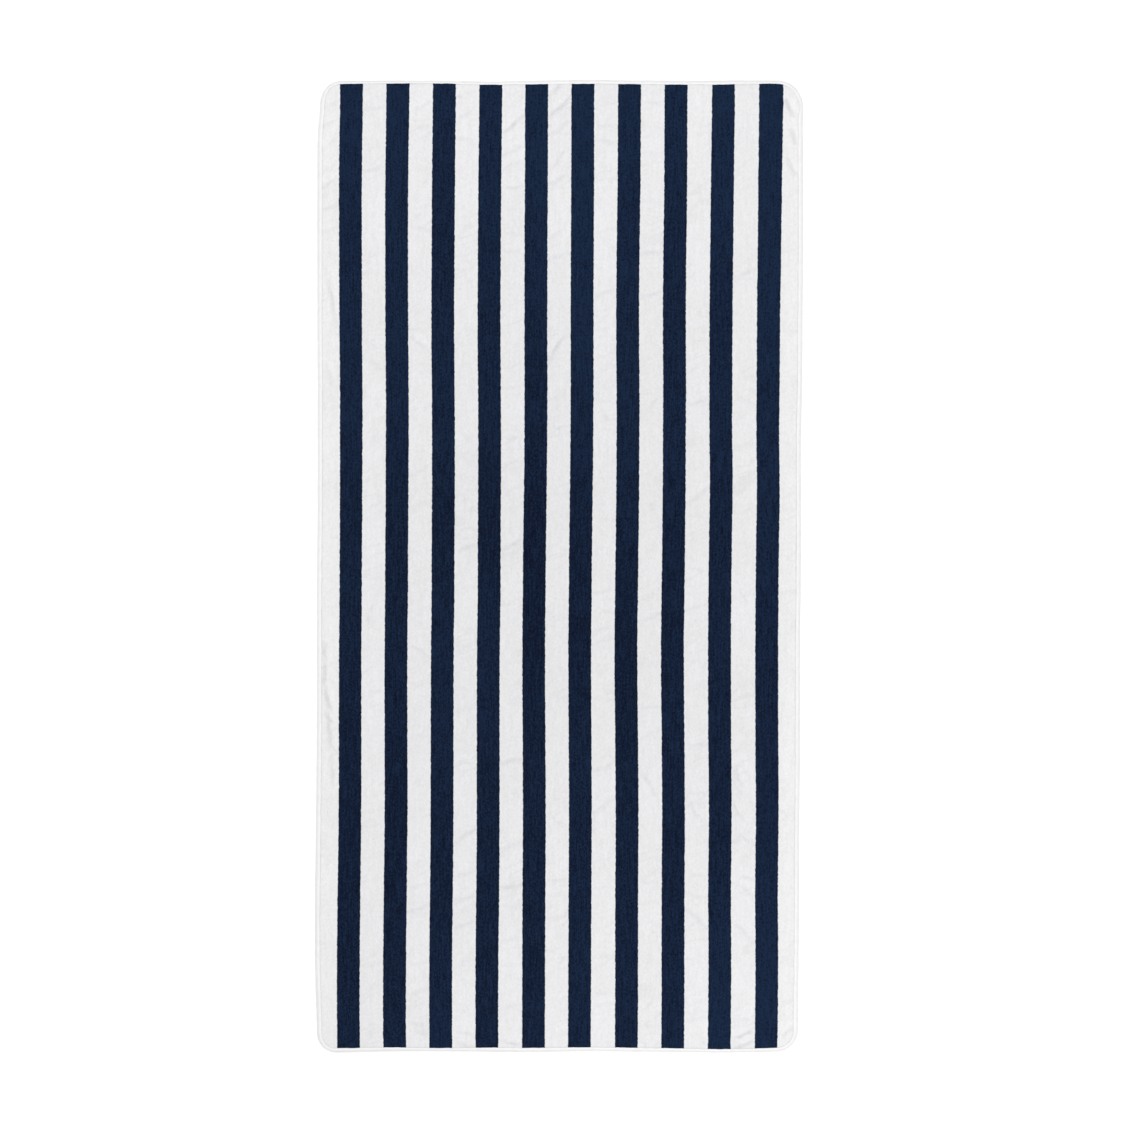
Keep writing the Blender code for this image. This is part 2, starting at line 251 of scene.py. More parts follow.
# Each white band's small creases, given with the band's place across the towel.
SMALL_CREASES = [
    # along, slant in degrees, length, depth as for the folds
    (-436, [(-118, -89, 72, 0.1), (-160, -84, 52, 0.9), (-204, -90, 74, 1.2)]),
    (-431, [(-247, -84, 62, 1.9)]),
    (-427, [(-264, -66, 34, 1.6), (-283, -62, 36, 1.6), (-309, -86, 62, 1.6)]),
    (-421, [(-338, -52, 34, 0.6), (-356, 60, 30, 0.5), (-386, -87, 60, 0.8)]),
    (-428, [(853, 32, 45, 0.5), (820, 30, 45, 0.6), (781, 35, 50, 0.6)]),
    (-428, [(708, 33, 50, 0.6), (665, 30, 45, 0.5), (623, 28, 45, 0.4)]),
    (-424, [(501, -80, 125, 1.0)]),
    (-428, [(357, -78, 44, 0.6), (-432, -13, 40, 0.3)]),
    (-346, [(849, 13, 60, 0.4), (735, 10, 55, 0.4), (578, 3, 40, 0.2)]),
    (-352, [(-103, 87, 33, 0.6)]),
    (-346, [(-76, 45, 29, 0.4), (-741, 12, 55, 0.3)]),
    (-252, [(855, 34, 50, 0.5), (816, 3, 50, 0.3), (738, 5, 40, 0.2)]),
    (-258, [(625, -8, 50, 0.5), (411, -41, 50, 0.5), (113, 14, 60, 0.4)]),
    (-258, [(26, 7, 50, 0.3), (-108, -28, 45, 0.3), (-158, -30, 50, 0.4)]),
    (-257, [(-317, 4, 45, 0.3), (-549, 13, 45, 0.3), (-736, 23, 50, 0.3), (-790, 18, 60, 0.4)]),
    (-258, [(-851, -9, 45, 0.4), (-866, 150, 32, 0.4)]),
    (-174, [(875, 15, 45, 0.9), (839, 35, 50, 0.4), (793, 4, 50, 0.4)]),
    (-174, [(33, 21, 75, 0.4), (-175, -20, 30, 0.1)]),
    (-174, [(-267, 17, 50, 0.3), (-368, 8, 45, 0.3), (-572, 21, 60, 0.6)]),
    (-173, [(-665, 28, 60, 0.5), (-733, 25, 50, 0.3), (-870, -3, 45, 0.5), (-890, -14, 50, 0.6)]),
    (-84, [(819, 41, 70, 1.2)]),
    (-82, [(745, 24, 60, 0.4), (703, 3, 50, 0.5), (661, 0, 40, 0.2)]),
    (-86, [(616, -9, 45, 0.3), (332, 13, 45, 0.3)]),
    (-86, [(235, 16, 45, 0.3), (105, 18, 40, 0.2), (38, 29, 75, 0.6)]),
    (-88, [(-634, 0, 45, 0.3), (-694, 11, 55, 0.4), (-740, 8, 40, 0.3)]),
    (-88, [(-818, 12, 45, 0.3), (-887, -11, 50, 0.7)]),
    (-7, [(884, 40, 50, 0.9)]),
    (0, [(813, 34, 60, 0.6), (754, 52, 62, 0.6), (717, 22, 55, 0.6)]),
    (-5, [(615, 32, 45, 0.5), (573, 21, 60, 0.6)]),
    (-5, [(314, 21, 50, 0.4), (257, 7, 45, 0.3)]),
    (-6, [(-472, -45, 50, 0.4), (-584, 6, 60, 0.4), (-611, 11, 40, 0.2)]),
    (87, [(817, 0, 40, 0.4), (788, -3, 60, 0.4), (623, 10, 55, 0.4), (506, 21, 60, 0.4)]),
    (87, [(305, -11, 45, 0.3), (276, -53, 35, 0.4), (164, 20, 40, 0.2)]),
    (83, [(86, 4, 40, 0.2), (-47, 15, 55, 0.4), (-247, 0, 45, 0.3)]),
    (83, [(-598, 0, 40, 0.2), (-720, 4, 40, 0.2), (-814, 13, 45, 0.3)]),
    (173, [(860, -4, 60, 0.4), (766, 0, 55, 0.3), (676, -12, 55, 0.4), (580, 3, 60, 0.5)]),
    (173, [(503, 15, 60, 0.5), (302, 15, 40, 0.2), (235, 0, 35, 0.1)]),
    (172, [(105, 31, 45, 0.2), (-51, 30, 50, 0.3), (-183, 25, 45, 0.2)]),
    (172, [(-264, 0, 60, 0.4), (-311, 30, 60, 0.4)]),
    (170, [(-588, -4, 45, 0.3), (-625, 4, 50, 0.3), (-663, 0, 40, 0.2), (-855, 0, 50, 0.3)]),
    (257, [(370, 32, 50, 0.3), (303, 12, 60, 0.5), (-160, 7, 40, 0.2)]),
    (257, [(-332, 3, 45, 0.3), (-465, -50, 50, 0.5), (-575, -3, 45, 0.3)]),
    (248, [(-450, -60, 70, 0.5)]),
    (255, [(-613, -8, 60, 0.4), (-842, 13, 50, 0.3)]),
    (347, [(306, -20, 40, 0.4), (225, 11, 45, 0.4), (167, 29, 55, 0.3)]),
    (347, [(101, 28, 45, 0.3), (-508, -42, 50, 0.4), (-581, 4, 45, 0.6)]),
    (332, [(-395, -71, 45, 1.0), (-457, -60, 50, 0.5)]),
    (339, [(-55, -49, 40, 0.3), (-597, -31, 50, 0.4)]),
    (344, [(-843, -2, 36, 0.4), (-872, 27, 60, 1.2), (-889, 17, 50, 1.4)]),
    (428, [(851, -66, 42, 2.2)]),
    (434, [(797, -72, 38, 1.7)]),
    (430, [(742, -65, 46, 1.2)]),
    (427, [(101, 5, 35, 0.1), (-47, 10, 45, 0.3), (-864, 42, 45, 0.8)]),
]
small_count = sum(len(creases) for _, creases in SMALL_CREASES)
print(len(FOLDS), "folds and", small_count, "small creases")

# %% [markdown]
# ## The height of the cloth
# Three functions of a place on the cut cloth add up to its face: the main folds of the CAD
# solid, the narrow creases, and a soft unevenness that every pile cloth has. The creases also
# return painted light for the material: painted shade in the bottom of a crease, and a painted
# highlight on the puffed side beside it. A material could also fake the folds with bump, but real
# height is right from the side too.

# %% Distances on the cloth, and noise
TAPE_WIDTH = 0.0075


def distance_to_edge(x, y):
    """How far places are from the cut edge, with all corners as round as the widest."""
    radius = max(radius for _, _, radius in CORNERS)
    beyond_x = np.abs(x) - (TOWEL_WIDTH / 2 - radius)
    beyond_y = np.abs(y) - (TOWEL_LENGTH / 2 - radius)
    in_corner = (beyond_x > 0) & (beyond_y > 0)
    corner, side = np.hypot(beyond_x, beyond_y), np.maximum(beyond_x, beyond_y)
    return radius - np.where(in_corner, corner, side)


def along_and_across(across, along, slant, x, y):
    """How far places are from a crease's middle, along the crease and across it, left positive."""
    angle = math.radians(slant)
    dx, dy = x - across * MM, y - along * MM
    lengthwise = dx * math.cos(angle) + dy * math.sin(angle)
    return lengthwise, dy * math.cos(angle) - dx * math.sin(angle)


def noise_at(across, along, seed):
    """A smooth random value from about -1 to 1 for each of many places."""
    return np.array([noise.noise(Vector((a, b, seed))) for a, b in zip(across, along)])


print(f"middle to edge {distance_to_edge(0, 0):.4f} m")

# %% Main folds
FOLD_RISE = 0.014
FOLD_FALL = 0.034
FOLD_FADE_AT_EDGE = 0.030


def fold_lift(x, y):
    """How high the main folds raise the cloth, as in the CAD solid."""
    raised = np.zeros_like(x)
    for across, along, length, height, slant, _ in FOLDS:
        lengthwise, crosswise = along_and_across(across, along, slant, x, y)
        reach = np.where(crosswise < FOLD_RISE, FOLD_RISE, FOLD_FALL)
        section = soft_window(crosswise - FOLD_RISE, reach)
        window = soft_window(lengthwise, length * MM / 2)
        raised = np.maximum(raised, height * MM * window * section)
    clear = (distance_to_edge(x, y) - TAPE_WIDTH) / FOLD_FADE_AT_EDGE
    return raised * np.clip(clear, 0, 1)


print("highest fold", max(fold[3] for fold in FOLDS), "mm")

# %% Narrow creases
CREASE_HALF_WIDTH = 0.0075
DEEP_CREASE = 0.0010
CREASE_SET_BACK = 0.0015
CREASE_WAVER = 0.0010
CREASE_WAVER_LENGTH = 0.045
# A crease breaks off and sets in again here and there, so its depth and width follow a noise.
BREAK_LENGTH = 0.013
BREAKS_IN_DEPTH = 0.7
BREAKS_IN_WIDTH = 0.4
BREAK_SEED = 0.5
PAINTED_HIGHLIGHT_REACH = 0.018
CREASE_SEED = 11


def all_creases():
    """Every crease as (across, along, slant, length, depth), the folds' own ones first."""
    creases = [(across, along, slant, length, deep) for across, along, length, _, slant, deep in FOLDS]
    for band, rows in SMALL_CREASES:
        creases += [(band, along, slant, length, deep) for along, slant, length, deep in rows]
    return [crease for crease in creases if crease[-1] > 0]


def crease_relief(x, y):
    """How deep the creases are at places, and the painted light there: -1 painted shade, +1 painted
    highlight.
    """
    draw = np.random.default_rng(CREASE_SEED)
    x, y = out_of_true(x, y)
    trough, painted_highlight = np.zeros_like(x), np.zeros_like(x)
    for across, along, slant, length, deep in all_creases():
        phase, bow, shift = draw.uniform(0, 2 * math.pi), draw.uniform(-1, 1), draw.uniform(0, 100)
        lengthwise, crosswise = along_and_across(across, along, slant, x, y)
        near = np.abs(lengthwise) < length * MM / 2
        near = np.flatnonzero(near & (np.abs(crosswise) < 2 * PAINTED_HIGHLIGHT_REACH))
        lengthwise, crosswise = lengthwise[near], crosswise[near]
        waver = np.sin(lengthwise / CREASE_WAVER_LENGTH * 2 * math.pi + phase)
        waver += bow * np.cos(lengthwise / (length * MM) * math.pi)
        crosswise = crosswise + CREASE_WAVER * waver - CREASE_SET_BACK
        breaks = noise_at(lengthwise / BREAK_LENGTH, np.full_like(lengthwise, shift), BREAK_SEED)
        fade = np.sqrt(soft_window(lengthwise, length * MM / 2)) * (1 + BREAKS_IN_DEPTH * breaks)
        fade = deep * fade
        half_width = CREASE_HALF_WIDTH * (1 - BREAKS_IN_WIDTH * breaks)
        trough[near] = np.maximum(trough[near], fade * soft_window(crosswise, half_width))
        # Painted highlight on the puffed side beside the crease; the trough itself gets painted shade.
        beside = soft_window(crosswise - PAINTED_HIGHLIGHT_REACH / 2, PAINTED_HIGHLIGHT_REACH / 2)
        painted_highlight[near] = np.maximum(painted_highlight[near], fade * beside)
    return DEEP_CREASE * trough, painted_highlight - trough


print(len(all_creases()), "creases in all")

# %% Unevenness
UNEVENNESS = [
    # patch length, patch width, slant in degrees, height, seed
    (24, 24, 0, 0.12, 3.7),
    (60, 18, 24, 0.28, 6.1),
    (90, 60, 0, 0.20, 9.2),
]


def unevenness(x, y):
    """The soft unevenness of a pile cloth that was laid out by hand."""
    total = np.zeros_like(x)
    for length, width, slant, height, seed in UNEVENNESS:
        lengthwise, crosswise = along_and_across(0, 0, slant, x, y)
        total += height * MM * noise_at(lengthwise / (length * MM), crosswise / (width * MM), seed)
    return total


print(len(UNEVENNESS), "layers of unevenness")

# %% [markdown]
# ## Where each stripe is woven
# The stripes are dyed warp yarns, so they are colour alone and follow the cloth. Each point of
# the cloth gets a weave coordinate, 0 on the middle of the first stripe, 1 on the middle of the
# second, and so on. The material only has to ask how far it is from a whole number. An image
# would blur, and separate faces for the stripes would give saw teeth where the cloth is coarse.

# %% Stripe coordinate
STRIPE_PITCH = 0.0862
STRIPE_WIDTH = 0.0426
# How far each stripe is shifted to the right of its even place.
STRIPE_SHIFTS = [0.0, -0.4, -0.5, -0.9, -1.5, -2.1, -2.3, -2.1, -1.4, 0.0]
STRIPE_WANDER = [
    # along, stripes 1 and 2, 3 and 4, 5 and 6, 7 and 8, 9 and 10
    (-800, -0.9, -1.2, 0.1, 1.7, 2.0),
    (-730, -0.3, -1.0, 0.2, 1.4, 1.8),
    (-600, 0.6, -0.1, 0.0, 0.8, 0.6),
    (-460, 0.8, -0.1, 0.0, 1.0, 1.2),
    (-320, 0.2, -0.2, -0.5, 0.0, -0.2),
    (-180, 0.0, 0.4, -0.7, -0.8, -0.4),
    (-50, 0.8, 1.1, -0.8, -1.0, -1.0),
    (20, 0.4, 0.6, -0.9, -0.6, -0.7),
    (160, 0.2, 0.3, 0.0, 0.1, 0.7),
    (300, 0.6, 0.0, 0.5, -0.1, -1.3),
    (430, 0.3, -0.4, 0.9, -0.7, -1.6),
    (570, 0.0, 0.0, 0.9, -0.5, -0.9),
    (710, -0.5, 0.0, 0.6, 0.5, 0.0),
    (850, 0.5, 0.1, -0.5, 0.0, 1.2),
]
OUTER_STRIPES_WIDER = [
    # along, first stripe, last stripe
    (-900, 0.0, 0.0),
    (-300, -0.6, 0.0),
    (0, -1.0, 0.0),
    (300, -0.6, 0.0),
    (700, 0.0, 1.4),
    (900, 0.0, 3.0),
]


def stripe_lines(y):
    """The lengthwise lines where the colour changes, from left to right, at each place along."""
    lines = []
    for number, shift in enumerate(STRIPE_SHIFTS):
        wander = through_rows(STRIPE_WANDER, y / MM, 1 + number // 2)
        middle = (number - (len(STRIPE_SHIFTS) - 1) / 2) * STRIPE_PITCH + (shift + wander) * MM
        lines += [middle - STRIPE_WIDTH / 2, middle + STRIPE_WIDTH / 2]
    lines[0] = lines[0] - through_rows(OUTER_STRIPES_WIDER, y / MM, 1) * MM
    lines[-1] = lines[-1] + through_rows(OUTER_STRIPES_WIDER, y / MM, 2) * MM
    return lines


def weave_coordinate(x, y):
    """Which stripe each place is on: a whole number on a stripe's middle, a half between two."""
    lines = stripe_lines(y)
    stripe_share = STRIPE_WIDTH / STRIPE_PITCH
    place = -stripe_share / 2 + np.minimum(x - lines[0], 0) / STRIPE_PITCH
    for number, (low, high) in enumerate(zip(lines, lines[1:])):
        share = stripe_share if number % 2 == 0 else 1 - stripe_share
        place = place + np.clip((x - low) / (high - low), 0, 1) * share
    return place + np.maximum(x - lines[-1], 0) / STRIPE_PITCH


print(len(STRIPE_SHIFTS), "stripes; the middle is at", weave_coordinate(np.zeros(1), np.zeros(1)))

# %% [markdown]
# ## How far the tape reaches in
# A folded tape is never centred quite evenly on the edge: here it covers a little more of the
# long sides than of the two ends, and at the head's right corner it slips almost under the cloth.
# Its inner edge also wavers by a few tenths of a millimetre, because the pile pushes against it.
# The cloth and the tape both need this, so it comes first.

# %% Reach and waver of the tape
SIDE_REACH = 0.0082
END_REACH = [
    # across, foot, head
    (-449, 7.6, 5.8),
    (-388, 7.4, 5.1),
    (-302, 7.0, 5.0),
    (-216, 5.8, 4.7),
    (-130, 7.1, 5.8),
    (-44, 7.5, 6.6),
    (42, 7.3, 6.7),
    (127, 7.2, 6.8),
    (214, 6.9, 6.7),
    (301, 6.3, 7.0),
    (388, 6.9, 5.7),
    (449, 7.0, 6.5),
]
SLIP_PLACE = (0.449, 0.853)
SLIP_LENGTH = 0.022
SLIP = 0.0040
REACH_WAVERS = [
    # height, size, seed
    (0.45, 28, 4.1),
    (0.55, 7.5, 8.3),
]


def edge_waver(height, size, seed):
    """A smooth random length for each station, which closes on itself (mm in, metres out)."""
    return height * MM * noise_at(*(edge_place / (size * MM)).T, seed)


foot_reach, head_reach = (
    through_rows(END_REACH, edge_place[:, 0] / MM, column) * MM for column in (1, 2)
)
end_reach = np.where(edge_inward[:, 1] < 0, head_reach, foot_reach)
reach = SIDE_REACH * edge_inward[:, 0] ** 2 + end_reach * edge_inward[:, 1] ** 2
from_slip = np.hypot(edge_place[:, 0] - SLIP_PLACE[0], edge_place[:, 1] - SLIP_PLACE[1])
reach -= SLIP * soft_window(from_slip, SLIP_LENGTH)
reach += sum(edge_waver(*row) for row in REACH_WAVERS)
print(f"the tape reaches {reach.min() / MM:.1f} to {reach.max() / MM:.1f} mm in")

# %% [markdown]
# ## The cloth as one closed sheet
# The real piece is a woven ground with cut loops standing on its face. It is modelled as one
# closed sheet. A belt of rings follows the edge, where the pile is squeezed under the tape and
# bulges out beside it. Inside the belt, the points form a lattice that is fine on the creases
# and coarse elsewhere, joined by a Delaunay triangulation, which copes with both without wasting
# triangles.

# %% Rings along the edge
CUT_EDGE_INSET = 0.0017
CUT_EDGE_LOW = 0.00095
CUT_EDGE_HIGH = 0.0024
FACE_RINGS = [
    # beyond the tape's inner edge, height, painted shade along the seam
    (-0.4, 2.40, -0.10),
    (0.4, 2.45, -0.10),
    (1.2, 2.70, -0.08),
    (2.4, 3.00, -0.04),
    (4.5, 3.25, 0.0),
    (8.0, 3.25, 0.0),
    (14.0, 3.05, 0.0),
]
BACK_RINGS = [
    # beyond the tape's inner edge, height
    (0.4, 0.90),
    (3.0, 0.30),
    (14.0, 0.00),
]
BELT = FACE_RINGS[-1][0] * MM


def ring_at(inset):
    """The places on the cut cloth of a line inside the cut edge, by an inset at each station."""
    return edge_place + edge_inward * inset[:, None]


print(f"a belt of {len(FACE_RINGS)} rings, {BELT:.3f} m wide")

# %% Lattice inside the belt
FINE_LATTICE = 0.0030
COARSE_EVERY = 3
BACK_LATTICE = 0.017
CREASE_BAND = 0.015
CLEAR_OF_BELT = 1.2


def lattice(step, coarse_every):
    """Lattice points inside the belt, with the fine ones only beside the creases."""
    columns = math.ceil(TOWEL_WIDTH / step / 2)
    rows = math.ceil(TOWEL_LENGTH / step / 2)
    column, row = np.meshgrid(np.arange(-columns, columns + 1), np.arange(-rows, rows + 1))
    column, row = column.ravel(), row.ravel()
    x, y = column * step, row * step
    wanted = (column % coarse_every == 0) & (row % coarse_every == 0)
    if coarse_every > 1:
        lying_x, lying_y = out_of_true(x, y)
        for across, along, slant, length, _ in all_creases():
            lengthwise, crosswise = along_and_across(across, along, slant, lying_x, lying_y)
            wanted |= (np.abs(crosswise) < CREASE_BAND) & (np.abs(lengthwise) < length * MM / 2)
    wanted &= distance_to_edge(x, y) > SIDE_REACH + BELT + CLEAR_OF_BELT * step
    return np.column_stack([x[wanted], y[wanted]])


def fill_inside(ring, points):
    """Triangles between the points inside a ring, as indices into the ring and then the points."""
    flat = [Vector(place) for place in np.vstack([ring, points])]
    rim = list(range(len(ring)))
    lines = list(zip(rim, rim[1:] + rim[:1]))
    inside_only, same_place = 1, 1e-7
    found, _, triangles, sources, _, _ = delaunay_2d_cdt(flat, lines, [rim], inside_only, same_place)
    if len(found) != len(flat):
        raise ValueError("points of the cloth meet")
    origin = [source[0] for source in sources]
    return [[origin[corner] for corner in triangle] for triangle in triangles]


face_points = lattice(FINE_LATTICE, COARSE_EVERY)
back_points = lattice(BACK_LATTICE, 1)
print(len(face_points), "points on the face and", len(back_points), "on the back")

# %% Helpers for pieces
def ring_quads(outer, inner):
    """Quads that face up between two rings of stations, given by their first points."""
    here = np.arange(station_count)
    after = (here + 1) % station_count
    return np.column_stack([outer + here, outer + after, inner + after, inner + here])


def store(mesh, name, kind, values):
    """Keeps a value for each point of a mesh as a named attribute."""
    attribute = mesh.attributes.new(name, kind, "POINT")
    attribute.data.foreach_set("vector" if kind == "FLOAT_VECTOR" else "value", np.ravel(values))


def add_object(name, data):
    """Links a mesh, a camera or a light to the scene as one named object."""
    made = bpy.data.objects.new(name, data)
    bpy.context.scene.collection.objects.link(made)
    return made


def add_piece(name, points, faces):
    """A smooth mesh in the scene as one named piece."""
    mesh = bpy.data.meshes.new(name)
    mesh.from_pydata(points.tolist(), [], faces)
    mesh.polygons.foreach_set("use_smooth", np.ones(len(faces), dtype=bool))
    return add_object(name, mesh)


def triangle_count(piece):
    """How many triangles a piece's mesh comes to."""
    piece.data.calc_loop_triangles()
    return len(piece.data.loop_triangles)


# %% The sheet's mesh
def face_height(x, y, base):
    """The face of the cloth: its base height, raised by folds, uneven, and lowered by creases."""
    depth, _ = crease_relief(x, y)
    clear = np.clip((distance_to_edge(x, y) - TAPE_WIDTH) / (2 * BELT), 0, 1)
    return base + fold_lift(x, y) + clear * unevenness(x, y) - depth * np.clip(2 * clear, 0, 1)


def make_towel():
    """The velour cloth: its face, its back and the squeezed edge that the tape covers."""
    cut_edge = ring_at(np.full(station_count, CUT_EDGE_INSET))
    places = [cut_edge, cut_edge]
    heights = [np.full(station_count, CUT_EDGE_LOW), np.full(station_count, CUT_EDGE_HIGH)]
    seam_painted_shade = [0.0, 0.0]
    for beyond, height, pile in FACE_RINGS:
        ring = ring_at(reach + beyond * MM)
        raised = np.full(station_count, height * MM)
        in_tape = beyond < 0
        places.append(ring)
        heights.append(raised if in_tape else face_height(*ring.T, raised))
        seam_painted_shade.append(pile)
    places.append(face_points)
    heights.append(face_height(*face_points.T, CLOTH_THICKNESS))
    first_back = sum(len(part) for part in places)
    for beyond, height in BACK_RINGS:
        ring = ring_at(reach + beyond * MM)
        places.append(ring)
        heights.append(height * MM + fold_lift(*ring.T))
    places.append(back_points)
    heights.append(fold_lift(*back_points.T))

    face_first = [station_count * number for number in range(len(FACE_RINGS) + 2)]
    back_first = [0] + [first_back + station_count * number for number in range(len(BACK_RINGS))]
    faces = []
    for outer, inner in zip(face_first, face_first[1:]):
        faces += ring_quads(outer, inner).tolist()
    for corners in fill_inside(places[len(FACE_RINGS) + 1], face_points):
        faces.append([face_first[-1] + corner for corner in corners])
    face_count = len(faces)
    for outer, inner in zip(back_first, back_first[1:]):
        faces += ring_quads(inner, outer).tolist()
    for corners in fill_inside(places[-2], back_points):
        faces.append([back_first[-1] + corner for corner in reversed(corners)])

    x, y = np.vstack(places).T
    piece = add_piece("towel_velour", lie(x, y, np.concatenate(heights)), faces)
    side = np.zeros(len(faces), dtype=np.int32)
    side[face_count:] = 1
    piece.data.polygons.foreach_set("material_index", side)
    # The cloth's painted light: painted shade in the creases and along the seam, and a painted highlight
    # beside the creases.
    _, pile = crease_relief(x, y)
    pile[: station_count * len(seam_painted_shade)] += np.repeat(seam_painted_shade, station_count)
    store(piece.data, "cut_place", "FLOAT_VECTOR", np.column_stack([x, y, np.zeros_like(x)]))
    store(piece.data, "weave_place", "FLOAT", weave_coordinate(x, y))
    store(piece.data, "painted_light_and_shade", "FLOAT", pile)
    return piece


towel = make_towel()
print("towel_velour:", triangle_count(towel), "triangles")

# %% [markdown]
# ## The binding tape
# One strip of plain woven cotton, about 17 mm wide, is folded over the cut edge so that it grips
# the cloth from both sides. A curve with a bevel profile could make it, but its corners twist.
# Here the folded section is drawn once, as a table, and set down at every station. The stitching
# pulls a slight dip into it near its inner edge, and the pile puckers it a little.

# %% Sweep the folded section round the edge
TAPE_SECTION = [
    # share of the reach, beyond that, height
    (1, 0.0, 0.10),
    (0.84, 0.0, 0.22),
    (0.68, 0.0, 0.05),
    (0.23, 0.0, 0.00),
    (0, 0.7, 0.30),
    (0, 0.15, 0.95),
    (0, 0.0, 1.75),
    (0, 0.15, 2.50),
    (0, 0.8, 2.95),
    (0.25, 0.0, 3.15),
    (0.42, 0.0, 3.32),
    (0.60, 0.0, 3.52),
    (0.74, 0.0, 3.50),
    (0.86, 0.0, 3.30),
    (1, -0.3, 3.38),
    (1, 0.0, 3.20),
    (1, 0.0, 2.85),
    (0, 1.4, 2.80),
    (0, 1.4, 0.60),
    (1, 0.0, 0.55),
]
FOLD_ROW = 6
# Height, size and seed of the puckers, outward and upward. The top is puckered, the base flat.
PUCKER_OUT = (0.25, 30, 2.6)
PUCKER_UP = (0.12, 12, 6.4)
WHOLLY_PUCKERED = 3


def make_tape():
    """The folded tape as one closed ring, mapped by the run along it and the way from its fold."""
    pull_out, pull_up = edge_waver(*PUCKER_OUT), edge_waver(*PUCKER_UP)
    lines, across = [], [0.0]
    for share, beyond, height in TAPE_SECTION:
        ring = ring_at(share * reach + beyond * MM - pull_out * (1 - share))
        puff = pull_up * min(height / WHOLLY_PUCKERED, 1.0)
        lines.append(lie(*ring.T, height * MM + puff))
    for (low_share, low, low_height), row in zip(TAPE_SECTION, TAPE_SECTION[1:]):
        share, beyond, height = row
        step = (share - low_share) * TAPE_WIDTH + (beyond - low) * MM
        across.append(across[-1] + math.hypot(step, (height - low_height) * MM))
    across.append(across[-1] + (TAPE_SECTION[-1][2] - TAPE_SECTION[0][2]) * MM)
    across = np.array(across) - across[FOLD_ROW]

    runs = np.column_stack([edge_run[:-1], edge_run[1:], edge_run[1:], edge_run[:-1]]).ravel()
    faces, corners = [], []
    for row, (low, high) in enumerate(zip(across, across[1:])):
        next_row = (row + 1) % len(TAPE_SECTION)
        faces += ring_quads(next_row * station_count, row * station_count).tolist()
        corners.append(np.column_stack([runs, np.tile([high, high, low, low], station_count)]))
    piece = add_piece("binding_tape", np.vstack(lines), faces)
    tape_map = piece.data.uv_layers.new(name="tape_map")
    tape_map.data.foreach_set("uv", np.vstack(corners).ravel())
    return piece


tape = make_tape()
print("binding_tape:", triangle_count(tape), "triangles")

# %% [markdown]
# ## The stitches that hold the tape
# A lockstitch runs round the towel 1.2 mm from the tape's inner edge, with the needle thread on
# the face and the bobbin thread on the back. It is about 1600 equal stitches on each side, which
# is work for Geometry Nodes: the seam line is cut into points one stitch apart, and a short
# arched thread is set on every point, turned along the seam. The same tree makes both sides with
# other inputs.

# %% One small function adds a node, and another fills in its inputs
def connect(made, inputs):
    """Fills in a node's inputs, by name or in order, from values, sockets or nodes.

    A node stands for its first output in use.
    """
    pairs = inputs.items() if isinstance(inputs, dict) else enumerate(inputs)
    for socket, value in pairs:
        if isinstance(value, bpy.types.Node):
            value = next(output for output in value.outputs if output.enabled)
        if isinstance(value, bpy.types.NodeSocket):
            made.id_data.links.new(value, made.inputs[socket])
        else:
            made.inputs[socket].default_value = value


def node(tree, kind, inputs=(), **settings):
    """Adds a node to a tree, with its settings and its inputs."""
    made = tree.nodes.new(kind)
    for name, value in settings.items():
        setattr(made, name, value)
    connect(made, inputs)
    return made


# %% The stitch tree
STITCH_INPUTS = [
    # name, kind, default
    ("Stitch Spacing", "NodeSocketFloat", 0.0033),
    ("Stitch Length", "NodeSocketFloat", 0.0026),
    ("Thread Radius", "NodeSocketFloat", 0.00024),
    ("Arch", "NodeSocketFloat", 0.00022),
    ("Waver", "NodeSocketFloat", 0.10),
    ("Seed", "NodeSocketInt", 5),
    ("Thread", "NodeSocketMaterial", None),
]
THREAD_SIDES = 6
THREAD_STEPS = 3


